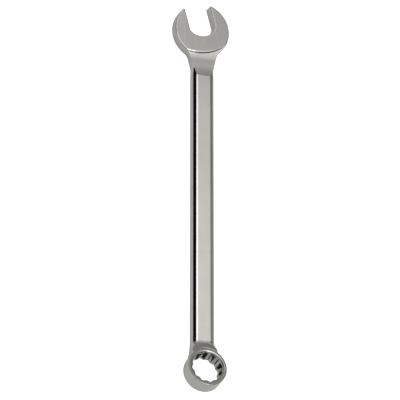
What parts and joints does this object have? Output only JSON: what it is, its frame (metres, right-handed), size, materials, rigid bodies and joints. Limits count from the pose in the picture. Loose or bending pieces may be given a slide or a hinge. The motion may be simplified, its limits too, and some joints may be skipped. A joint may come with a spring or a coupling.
{
  "type": "combination wrench",
  "caption": "Polished combination wrench: flat round-sided shank, open jaw turned to one side at one end, tilted multi-point ring at the other.",
  "frame": {"origin": "on the flat back face of the shank, on its centre line, half way between the centres of the two ends", "axes": "+X along the shank towards the open jaw, +Z out of the front face, +Y to the left when looking from the ring to the jaw with the front face up"},
  "size_m": [0.2779, 0.0404, 0.0188],
  "materials": {
    "chrome_plate": "polished chrome plate over forged steel, taken to be chrome-vanadium"
  },
  "bodies": {
    "root": {"open_end_head": "chrome_plate", "shank": "chrome_plate", "box_end_ring": "chrome_plate"}
  },
  "joints": []
}
